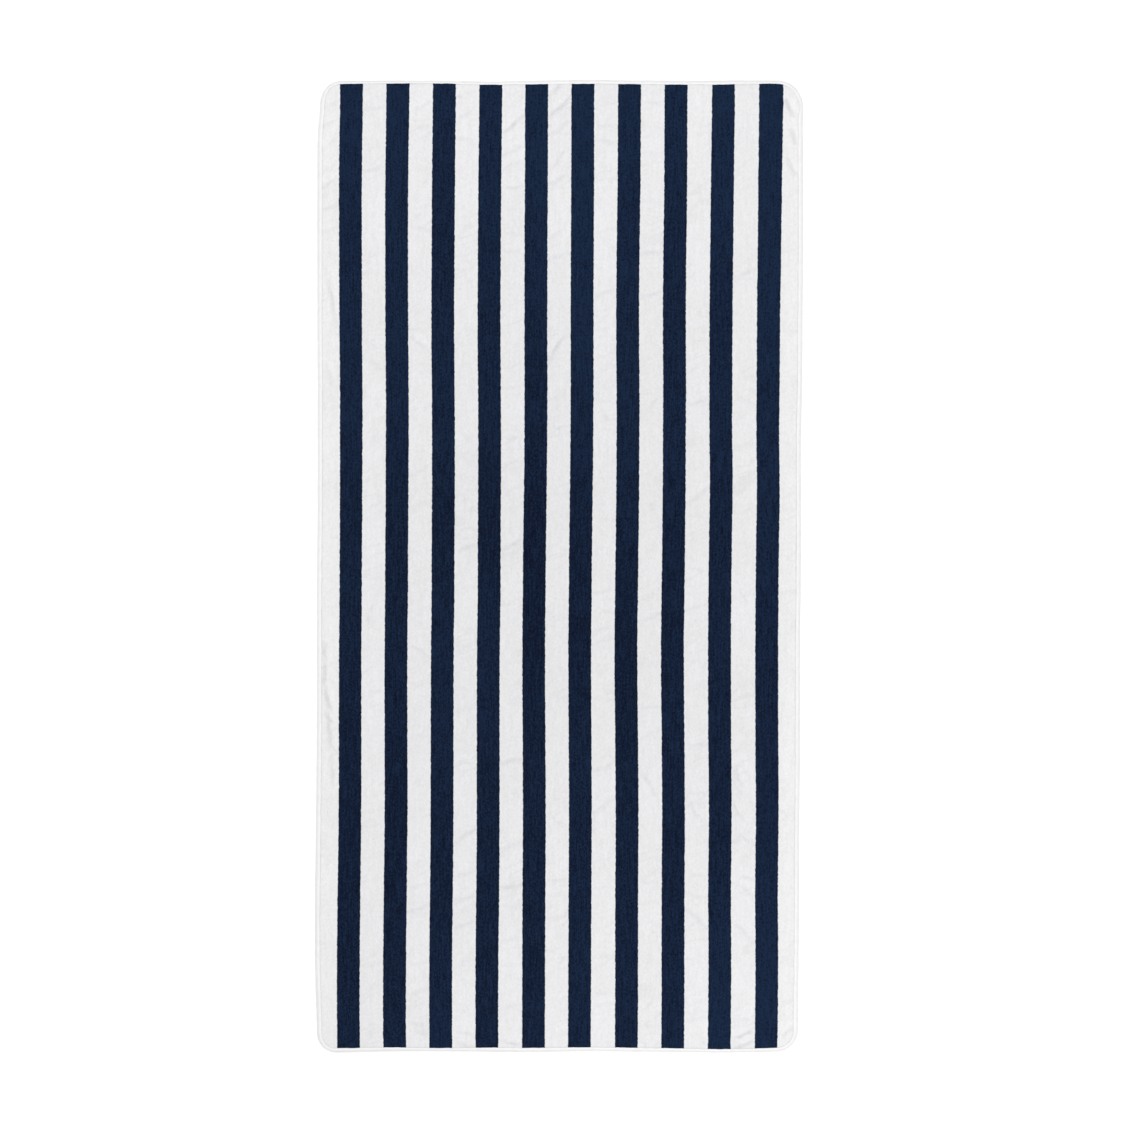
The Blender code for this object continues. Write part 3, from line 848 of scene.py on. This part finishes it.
def stitch_tree():
    """A tree that sets a short arched thread on every stitch of a seam line."""
    tree = bpy.data.node_groups.new("seam of stitches", "GeometryNodeTree")
    tree.interface.new_socket("Geometry", in_out="INPUT", socket_type="NodeSocketGeometry")
    for name, kind, default in STITCH_INPUTS:
        socket = tree.interface.new_socket(name, in_out="INPUT", socket_type=kind)
        if default is not None:
            socket.default_value = default
    tree.interface.new_socket("Geometry", in_out="OUTPUT", socket_type="NodeSocketGeometry")
    given = node(tree, "NodeGroupInput").outputs
    parts = (("Stitch Length", 0.5), ("Stitch Length", -0.5), ("Arch", -1.0), ("Waver", -1.0))
    ahead, behind, down, low = (
        node(tree, "ShaderNodeMath", [given[name], share], operation="MULTIPLY") for name, share in parts
    )
    start, top, end = (
        node(tree, "ShaderNodeCombineXYZ", place)
        for place in ({"X": behind, "Z": down}, {"Z": given["Arch"]}, {"X": ahead, "Z": down})
    )
    points = {"Resolution": THREAD_STEPS, "Start": start, "Middle": top, "End": end}
    arch = node(tree, "GeometryNodeCurveQuadraticBezier", points)
    section = {"Resolution": THREAD_SIDES, "Radius": given["Thread Radius"]}
    ring = node(tree, "GeometryNodeCurvePrimitiveCircle", section, mode="RADIUS")
    swept = {"Curve": arch, "Profile Curve": ring, "Fill Caps": True}
    thread = node(tree, "GeometryNodeCurveToMesh", swept)

    seam = node(tree, "GeometryNodeMeshToCurve", {"Mesh": given["Geometry"]})
    spacing = {"Curve": seam, "Length": given["Stitch Spacing"]}
    cut = node(tree, "GeometryNodeResampleCurve", spacing, mode="LENGTH")
    along = {"Vector": node(tree, "GeometryNodeInputTangent")}
    turned = node(tree, "FunctionNodeAlignRotationToVector", along, axis="X", pivot_axis="Z")
    spots = {"Points": cut, "Instance": thread, "Rotation": turned}
    placed = node(tree, "GeometryNodeInstanceOnPoints", spots)
    between = {2: low, 3: given["Waver"], "Seed": given["Seed"]}
    waver = node(tree, "FunctionNodeRandomValue", between, data_type="FLOAT")
    swing = node(tree, "ShaderNodeCombineXYZ", {"Z": waver})
    swung = {"Instances": placed, "Rotation": swing, "Local Space": True}
    swung = node(tree, "GeometryNodeRotateInstances", swung)
    real = node(tree, "GeometryNodeRealizeInstances", [swung])
    smooth = node(tree, "GeometryNodeSetShadeSmooth", [real])
    dress = {"Geometry": smooth, "Material": given["Thread"]}
    node(tree, "NodeGroupOutput", [node(tree, "GeometryNodeSetMaterial", dress)])
    return tree


# %% Run a seam with the tree and keep its result as a plain mesh
SEAM_FROM_TAPE_EDGE = 0.0012
FACE_SEAM_HEIGHT = 0.00335
BACK_SEAM_HEIGHT = 0.00012


def make_seam(name, tree, height, settings):
    """One side's stitches, made along the seam line and turned into a plain mesh."""
    ring = ring_at(reach - SEAM_FROM_TAPE_EDGE)
    line = bpy.data.meshes.new(name + "_line")
    joined = [(i, (i + 1) % station_count) for i in range(station_count)]
    line.from_pydata(lie(*ring.T, np.full(station_count, height)).tolist(), joined, [])
    guide = add_object(name + "_line", line)
    seam = guide.modifiers.new("stitches", "NODES")
    seam.node_group = tree
    for item in tree.interface.items_tree:
        if item.in_out == "INPUT" and item.name in settings:
            seam[item.identifier] = settings[item.name]
    ready = guide.evaluated_get(bpy.context.evaluated_depsgraph_get())
    mesh = bpy.data.meshes.new_from_object(ready)
    mesh.name = name
    mesh.materials.clear()
    mesh.materials.append(settings["Thread"])
    mesh.polygons.foreach_set("material_index", np.zeros(len(mesh.polygons), dtype=np.int32))
    guide.modifiers.remove(seam)
    bpy.data.objects.remove(guide)
    return add_object(name, mesh)


# %% [markdown]
# ## Colours and how a material starts
# Colours are written as sRGB hex, as a dyer's card would give them, and one function turns them
# into the linear values that the shader works with. Each material gets a Principled shader, and
# anything that is the same all over is set on the shader's own socket. Two kinds of node do most
# of the rest. Map Range takes a value, the range it comes from and the range it goes to, in that
# order. Mix takes the factor at 0 and its two colours at 6 and 7.

# %% Colour and material helpers
MIX = {"data_type": "RGBA"}
MULTIPLY = {"data_type": "RGBA", "blend_type": "MULTIPLY"}
SMOOTH = {"interpolation_type": "SMOOTHSTEP"}
FROM_CLOTH = {"attribute_type": "GEOMETRY"}


def linear(hex_colour):
    """An sRGB hex colour as linear red, green, blue and alpha."""
    channels = [int(hex_colour[i : i + 2], 16) / 255 for i in (1, 3, 5)]
    return (*[c / 12.92 if c <= 0.04045 else ((c + 0.055) / 1.055) ** 2.4 for c in channels], 1.0)


def start_material(name, uniform):
    """A new material, its tree and its Principled shader, with the shader's uniform values set."""
    material = bpy.data.materials.new(name)
    material.use_nodes = True
    shader = material.node_tree.nodes["Principled BSDF"]
    connect(shader, uniform)
    return material, material.node_tree, shader


# %% [markdown]
# ## Sheared cotton terry: velour
# The face is velour: terry loops that were sheared, so that cut cotton tips stand up close
# together. It is matt, soft and slightly mottled, because the tufts lean in patches, and the
# light that grazes it catches on the tips as a sheen. The tufts stand in columns along the warp,
# so the navy shows faint lengthwise streaks. Faint slanting wrinkles over both colours are painted
# shade, and so is the trace of darkening on the white between the stripes against the margins.
# Where two colours meet, tufts lean over the line and make it ragged. An image would repeat or
# blur, so noise of several real sizes makes all this on the cut cloth.

# %% The sizes of the patterns
GRAINS = {
    # mm across, mm along, slant in degrees, detail, roughness, offset into the noise
    "tufts": (1.1, 1.65, 0, 2.0, 0.6, 2.2),
    "clumps of tufts": (5.6, 7.2, 0, 3.0, 0.6, 9.4),
    "clumps": (4.0, 4.0, 0, 3.0, 0.6, 7.3),
    "streaks": (3.5, 22, 0, 3.0, 0.6, 1.9),
    "patches": (55, 88, 0, 2.0, 0.5, 5.7),
    "broad lean": (110, 260, 0, 2.0, 0.5, 3.3),
    "ragged edge": (3.5, 3.5, 0, 3.0, 0.6, 3.1),
    "wrinkles": (35, 12, 22, 1.0, 0.4, 6.2),
    "wrinkled places": (35, 35, 0, 2.0, 0.5, 8.8),
    # The rest are too fine to show at their real size. A tuft's tip is 1.1 mm wide and is drawn
    # at 1.7. Its fibres are 0.02 mm, drawn at 1.3, and the warp yarns 0.8 mm, drawn at 1.6. The
    # tape's slubs are about 1 mm wide, drawn at 3.
    "tips": (1.7, 2.38, 0, 2.0, 0.6, 4.6),
    "fibres": (1.3, 1.82, 0, 2.0, 0.6, 4.6),
    "yarns": (1.6, 22, 0, 2.0, 0.6, 8.1),
    "slubs": (6.0, 3.0, 0, 3.0, 0.6, 4.4),
}


def in_features(tree, place, across, along, slant=0, offset=0.0):
    """A place in metres, turned by a slant, as a count of features of two sizes in millimetres."""
    turning = {"Vector": place, "Angle": math.radians(-slant)}
    turned = node(tree, "ShaderNodeVectorRotate", turning, rotation_type="Z_AXIS")
    counts = (1 / (across * MM), 1 / (along * MM), 1 / (across * MM))
    return node(tree, "ShaderNodeVectorMath", [turned, counts, (offset,) * 3], operation="MULTIPLY_ADD")


def grain(tree, place, name):
    """A noise value from 0 to 1 whose features have a named grain's sizes."""
    across, along, slant, detail, roughness, offset = GRAINS[name]
    counted = in_features(tree, place, across, along, slant, offset)
    inputs = {"Vector": counted, "Scale": 0.5, "Detail": detail, "Roughness": roughness}
    return node(tree, "ShaderNodeTexNoise", inputs)


print(len(GRAINS), "grains, from", min(min(sizes[:2]) for sizes in GRAINS.values()), "mm")

# %% Masks for the wrinkles' painted shade, for stripes and margins, and the navy's trend to the ends
WRINKLE_WIDTH = 0.07
WRINKLES_BEGIN, WRINKLES_WHOLE = 0.42, 0.68
RAGGED_REACH = 0.0007
RAGGED_FROM, RAGGED_TO = 0.25, 0.75
EDGE_SOFTNESS = 0.0007
TREND_RANGES = [
    # axis, from and to in metres, value there and there, interpolation
    ("X", -TOWEL_WIDTH / 2, TOWEL_WIDTH / 2, 0.46, 0.54, "LINEAR"),
    ("Y", -0.1, 0.9, -0.02, 0.08, "SMOOTHSTEP"),
    ("Y", -0.9, -0.5, 0.08, 0.0, "SMOOTHSTEP"),
]


def wrinkle_shade_mask(tree, place):
    """Up to 1 on faint slanting wrinkles that come and go, where painted shade goes: the level line of a
    stretched noise.
    """
    beside = node(tree, "ShaderNodeMath", [grain(tree, place, "wrinkles"), 0.5], operation="SUBTRACT")
    away = node(tree, "ShaderNodeMath", [beside], operation="ABSOLUTE")
    line = node(tree, "ShaderNodeMapRange", [away, 0.0, WRINKLE_WIDTH, 1.0, 0.0], **SMOOTH)
    shown = [grain(tree, place, "wrinkled places"), WRINKLES_BEGIN, WRINKLES_WHOLE, 0.0, 1.0]
    shown = node(tree, "ShaderNodeMapRange", shown, **SMOOTH)
    return node(tree, "ShaderNodeMath", [line, shown], operation="MULTIPLY")


def stripe_mask(tree, place, weave):
    """1 on the navy stripes, 0 on the white ground, with a ragged edge between."""
    ragged, shift = grain(tree, place, "ragged edge"), RAGGED_REACH / STRIPE_PITCH
    shift = node(tree, "ShaderNodeMapRange", [ragged, RAGGED_FROM, RAGGED_TO, -shift, shift])
    moved = node(tree, "ShaderNodeMath", [weave, shift], operation="ADD")
    from_whole = node(tree, "ShaderNodeMath", [moved, 0.5], operation="PINGPONG")
    half, soft = STRIPE_WIDTH / STRIPE_PITCH / 2, EDGE_SOFTNESS / STRIPE_PITCH
    return node(tree, "ShaderNodeMapRange", [from_whole, half - soft, half + soft, 1.0, 0.0], **SMOOTH)


def among_stripes(tree, weave):
    """1 among the stripes, falling to 0 in the two margins outside them."""
    middle = (len(STRIPE_SHIFTS) - 1) / 2
    beside = node(tree, "ShaderNodeMath", [weave, middle], operation="SUBTRACT")
    distance = node(tree, "ShaderNodeMath", [beside], operation="ABSOLUTE")
    return node(tree, "ShaderNodeMapRange", [distance, middle, middle + 0.5, 1.0, 0.0])


def ends_and_right_trend(tree, place):
    """Near 0.5, higher at the two ends and to the right, where it makes the navy lighter."""
    parts = node(tree, "ShaderNodeSeparateXYZ", [place]).outputs
    total = 0.0
    for axis, low, high, at_low, at_high, kind in TREND_RANGES:
        reading = [parts[axis], low, high, at_low, at_high]
        part = node(tree, "ShaderNodeMapRange", reading, interpolation_type=kind)
        total = node(tree, "ShaderNodeMath", [part, total], operation="ADD")
    return total


# %% The striped pile's colour
WHITE_SHARES = {"tips": 0.8, "clumps": 0.35, "streaks": 0.5, "patches": 0.3}
NAVY_SHARES = {"fibres": 1.5, "yarns": 0.95, "streaks": 0.2, "patches": 0.1, "broad lean": 0.4}
# This value makes the navy lighter towards the two ends and the right.
NAVY_SHARES["lean"] = 1.0
HALF_SPREAD = 0.3
# The white among the stripes gets painted shade, a trace darker than in the margins.
MIDDLE_PAINTED_SHADE = "#FBFBFC"


def blended(tree, values, shares):
    """The sum of named values, each with its share, spread from 0 to 1 around half the whole."""
    total, half = 0.0, sum(shares.values()) / 2
    for name, share in shares.items():
        total = node(tree, "ShaderNodeMath", [values[name], share, total], operation="MULTIPLY_ADD")
    return node(tree, "ShaderNodeMapRange", [total, half - HALF_SPREAD, half + HALF_SPREAD, 0.0, 1.0])


def pile_colour(tree, place, whites, navies):
    """Mottled white, with painted shade a trace darker among the stripes, and streaked navy, each
    between two colours.
    """
    weave = node(tree, "ShaderNodeAttribute", attribute_name="weave_place", **FROM_CLOTH).outputs["Fac"]
    names = [name for name in {**WHITE_SHARES, **NAVY_SHARES} if name in GRAINS]
    values = {name: grain(tree, place, name) for name in names}
    values["lean"] = ends_and_right_trend(tree, place)
    mottled, streaked = (blended(tree, values, shares) for shares in (WHITE_SHARES, NAVY_SHARES))
    white, navy = (
        node(tree, "ShaderNodeMix", {0: factor, 6: linear(low), 7: linear(high)}, **MIX)
        for factor, (low, high) in ((mottled, whites), (streaked, navies))
    )
    middle_shaded = {0: among_stripes(tree, weave), 6: white, 7: linear(MIDDLE_PAINTED_SHADE)}
    white = node(tree, "ShaderNodeMix", middle_shaded, **MULTIPLY)
    return node(tree, "ShaderNodeMix", {0: stripe_mask(tree, place, weave), 6: white, 7: navy}, **MIX)


# %% Velour material
# Tints for painted shade in the creases and on the faint wrinkles, and for a painted highlight beside
# the creases.
CREASE_PAINTED_SHADE = "#F0F0F1"
WRINKLE_PAINTED_SHADE = "#FAFAFA"
PAINTED_HIGHLIGHT_TINT = (1.025, 1.025, 1.025, 1.0)
velour, tree, shader = start_material(
    "sheared cotton terry velour",
    {"Roughness": 1.0, "Specular IOR Level": 0.08, "Sheen Weight": 0.06, "Sheen Roughness": 0.5},
)
place = node(tree, "ShaderNodeAttribute", attribute_name="cut_place", **FROM_CLOTH).outputs["Vector"]
stand = node(tree, "ShaderNodeAttribute", attribute_name="painted_light_and_shade", **FROM_CLOTH).outputs["Fac"]
# Painted shade in the creases and along the seam, and a painted highlight beside the creases, multiplied
# into the colour.
crease_shade_factor = node(tree, "ShaderNodeMapRange", [stand, -1.0, 0.0, 1.0, 0.0])
painted_highlight = node(tree, "ShaderNodeMapRange", [stand, 0.0, 1.0, 0.0, 1.0])
colour = pile_colour(tree, place, ("#D6D6D6", "#E5E5E6"), ("#060E22", "#15263F"))
for factor, tint in (
    (crease_shade_factor, linear(CREASE_PAINTED_SHADE)),
    (wrinkle_shade_mask(tree, place), linear(WRINKLE_PAINTED_SHADE)),
    (painted_highlight, PAINTED_HIGHLIGHT_TINT),
):
    colour = node(tree, "ShaderNodeMix", {0: factor, 6: colour, 7: tint}, **MULTIPLY)
clumps, tufts = grain(tree, place, "clumps of tufts"), grain(tree, place, "tufts")
clumps = node(tree, "ShaderNodeBump", {"Strength": 0.5, "Distance": 0.0008, "Height": clumps})
relief = {"Strength": 0.5, "Distance": 0.0005, "Height": tufts, "Normal": clumps}
connect(shader, {"Base Color": colour, "Normal": node(tree, "ShaderNodeBump", relief)})
print("velour nodes:", len(tree.nodes))

# %% [markdown]
# ## Looped cotton terry: the back
# The back keeps its loops uncut, so it is rougher and duller than the face, with the same dyed
# stripes. A loop is about 2 mm. The back is hardly seen on a flat towel, but it shows from below.
# Cell noise gives the separate round loops.

# %% Terry back material
LOOP_SIZE = (2.2, 2.86)
LOOP_GAP_PAINTED_SHADE = "#C8C8C8"
terry_back, tree, shader = start_material(
    "looped cotton terry",
    {"Roughness": 1.0, "Specular IOR Level": 0.1, "Sheen Weight": 0.08, "Sheen Roughness": 0.6},
)
place = node(tree, "ShaderNodeAttribute", attribute_name="cut_place", **FROM_CLOTH).outputs["Vector"]
cells = {"Vector": in_features(tree, place, *LOOP_SIZE), "Scale": 1.0, "Randomness": 0.8}
loops = node(tree, "ShaderNodeTexVoronoi", cells)
# Painted shade in the gaps between the loops.
loop_gap_shade = node(tree, "ShaderNodeMapRange", [loops, 0.25, 0.75, 0.0, 1.0])
colour = pile_colour(tree, place, ("#D9D9DA", "#E6E6E7"), ("#101B30", "#1C2A46"))
colour = node(tree, "ShaderNodeMix", {0: loop_gap_shade, 6: colour, 7: linear(LOOP_GAP_PAINTED_SHADE)}, **MULTIPLY)
relief = {"Strength": 0.6, "Distance": 0.001, "Height": loops}
connect(shader, {"Base Color": colour, "Normal": node(tree, "ShaderNodeBump", relief, invert=True)})
print("terry back nodes:", len(tree.nodes))

# %% [markdown]
# ## Plain woven cotton tape
# The tape is a plain weave of white cotton, smoother and a little brighter than the pile. Its
# crosswise threads give fine ribs, 0.45 mm apart on the real tape and drawn at 0.9 mm. Where it
# turns over the cut edge it gets painted shade, a greyer colour. The pattern follows the tape's own
# map, so the ribs stay square to the edge round the corners.

# %% Tape material
RIB_SPACING = 0.0009
TURN_BEGINS = 0.0054
TURN_WHOLE = 0.0036
TURN_PAINTED_SHADE = "#F5F5F5"
cotton_tape, tree, shader = start_material(
    "plain woven cotton tape",
    {"Roughness": 0.9, "Specular IOR Level": 0.25, "Sheen Weight": 0.05, "Sheen Roughness": 0.4},
)
tape_map = node(tree, "ShaderNodeUVMap", uv_map="tape_map")
parts = node(tree, "ShaderNodeSeparateXYZ", [tape_map]).outputs


def ribs(tree, place, spacing):
    """A value from 0 to 1 that rises and falls once for each thread."""
    turns = node(tree, "ShaderNodeMath", [place, 2 * math.pi / spacing], operation="MULTIPLY")
    wave = node(tree, "ShaderNodeMath", [turns], operation="SINE")
    return node(tree, "ShaderNodeMapRange", [wave, -1.0, 1.0, 0.0, 1.0])


weave = [ribs(tree, parts[axis], RIB_SPACING) for axis in ("X", "Y")]
weave = node(tree, "ShaderNodeMath", weave, operation="MULTIPLY")
slubs = grain(tree, tape_map, "slubs")
lighter = node(tree, "ShaderNodeMapRange", [slubs, 0.3, 0.7, 0.0, 1.0])
colour = node(tree, "ShaderNodeMix", {0: lighter, 6: linear("#E5E5E5"), 7: linear("#EBEBEB")}, **MIX)
away = node(tree, "ShaderNodeMath", [parts["Y"]], operation="ABSOLUTE")
# Painted shade where the tape turns over the cut edge: its colour is greyed there.
turning = node(tree, "ShaderNodeMapRange", [away, TURN_WHOLE, TURN_BEGINS, 1.0, 0.0], **SMOOTH)
colour = node(tree, "ShaderNodeMix", {0: turning, 6: colour, 7: linear(TURN_PAINTED_SHADE)}, **MULTIPLY)
threads = node(tree, "ShaderNodeBump", {"Strength": 0.5, "Distance": 0.00025, "Height": weave})
relief = {"Strength": 0.4, "Distance": 0.0004, "Height": slubs, "Normal": threads}
connect(shader, {"Base Color": colour, "Normal": node(tree, "ShaderNodeBump", relief)})
print("tape nodes:", len(tree.nodes))

# %% [markdown]
# ## Cotton sewing thread
# The thread is white two-ply cotton, tighter and so a little glossier than the tape. Its plies
# are 0.24 mm thick and too fine to show, so a soft grain of 0.7 mm stands for them.

# %% Thread material
THREAD_GRAIN = 0.0007
sewing_thread, tree, shader = start_material(
    "twisted cotton sewing thread", {"Roughness": 0.7, "Specular IOR Level": 0.35}
)
place = node(tree, "ShaderNodeTexCoord").outputs["Object"]
twist = node(tree, "ShaderNodeTexNoise", {"Vector": place, "Scale": 1 / THREAD_GRAIN, "Detail": 2.0})
lighter = node(tree, "ShaderNodeMapRange", [twist, 0.35, 0.65, 0.0, 1.0])
colour = node(tree, "ShaderNodeMix", {0: lighter, 6: linear("#E9E9E9"), 7: linear("#F2F2F2")}, **MIX)
relief = node(tree, "ShaderNodeBump", {"Strength": 0.4, "Distance": 0.00008, "Height": twist})
connect(shader, {"Base Color": colour, "Normal": relief})
print("thread nodes:", len(tree.nodes))

# %% Dress the cloth and the tape, and sew the two seams
for material in (velour, terry_back):
    towel.data.materials.append(material)
tape.data.materials.append(cotton_tape)
seam_tree = stitch_tree()
needle_seam = make_seam("needle_stitches", seam_tree, FACE_SEAM_HEIGHT, {"Thread": sewing_thread})
bobbin_seam = make_seam(
    "bobbin_stitches",
    seam_tree,
    BACK_SEAM_HEIGHT,
    {"Thread": sewing_thread, "Arch": -0.00012, "Thread Radius": 0.0002, "Seed": 12},
)
for seam in (needle_seam, bobbin_seam):
    print(seam.name, triangle_count(seam), "triangles")

# %% [markdown]
# ## Floor, camera and light
# The towel lies on a pale floor under soft light from all round, so that no shadow shows. The
# surround is brighter overhead than at the horizon, which shades every slope a little, whichever
# way it faces. Four large soft lamps hang over the floor past the ends and the sides and light
# the towel's rim a little more than its middle. The camera looks straight down from 5 m with a
# long lens, so that the edges stay parallel.

# %% Floor
FLOOR_HALF = 9.0
FLOOR_BELOW = 0.0006
corners = np.array([(side * FLOOR_HALF, end * FLOOR_HALF, -FLOOR_BELOW) for side, end, _ in CORNERS])
floor = add_piece("studio_floor", corners, [(0, 1, 2, 3)])
floor_paint, tree, shader = start_material(
    "matt white studio paint",
    {"Roughness": 1.0, "Specular IOR Level": 0.0, "Base Color": linear("#FDFDFD")},
)
floor.data.materials.append(floor_paint)
print("floor", 2 * FLOOR_HALF, "m wide")

# %% Camera
# The towel's middle is at a pixel of the reference image, which is square.
IMAGE_SIDE = 1134
MM_PER_PIXEL = 1.857
TOWEL_MIDDLE = (558.46, 565.75)
LENS = 85.0
SENSOR = 36.0
FAR_CLIP = 50.0
frame_width = IMAGE_SIDE * MM_PER_PIXEL * MM
middle_pixel = (IMAGE_SIDE - 1) / 2
camera_data = bpy.data.cameras.new("camera")
camera_data.lens = LENS
camera_data.sensor_width = SENSOR
camera_data.clip_end = FAR_CLIP
camera = add_object("camera", camera_data)
camera.location = (
    (middle_pixel - TOWEL_MIDDLE[0]) * MM_PER_PIXEL * MM - CENTRE[0],
    (TOWEL_MIDDLE[1] - middle_pixel) * MM_PER_PIXEL * MM - CENTRE[1],
    CLOTH_THICKNESS + frame_width * LENS / SENSOR,
)
bpy.context.scene.camera = camera
print("camera at", [round(v, 4) for v in camera.location])

# %% Light
HORIZON_LIGHT = 0.30
OVERHEAD_LIGHT = 0.715
LAMPS = [
    # name, place and size in metres, power in watts
    ("head lamp", (0.0, 1.5, 1.6), 1.2, 16.2),
    ("foot lamp", (0.32, -1.5, 1.6), 1.2, 17.2),
    ("left lamp", (-1.6, 0.0, 1.0), 1.0, 11.0),
    ("right lamp", (1.6, 0.1, 1.0), 1.0, 9.6),
]
world = bpy.data.worlds.new("soft surround")
bpy.context.scene.world = world
world.use_nodes = True
direction = node(world.node_tree, "ShaderNodeTexCoord").outputs["Generated"]
upward = node(world.node_tree, "ShaderNodeSeparateXYZ", [direction]).outputs["Z"]
rising = [upward, 0.0, 1.0, HORIZON_LIGHT, OVERHEAD_LIGHT]
brightness = node(world.node_tree, "ShaderNodeMapRange", rising)
connect(world.node_tree.nodes["Background"], {"Color": (1, 1, 1, 1), "Strength": brightness})
for name, place, size, power in LAMPS:
    lamp_data = bpy.data.lights.new(name, "AREA")
    lamp_data.size = size
    lamp_data.energy = power
    lamp = add_object(name, lamp_data)
    lamp.location = place
    lamp.visible_camera = False
bpy.context.scene.view_settings.view_transform = "Standard"
print(len(LAMPS), "lamps of", sum(lamp[-1] for lamp in LAMPS), "W in all")

# %% [markdown]
# ## Tell the frame what was made
# Every piece rides the towel's one body. The velour takes the place of the plain cloth solid, and
# the tape that of the plain binding. The towel as sold is 90 by 180 cm when laid flat.

pieces = [towel, tape, needle_seam, bobbin_seam]
for piece in pieces:
    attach(piece, "root")
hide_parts("towel_cloth")
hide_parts("edge_binding")
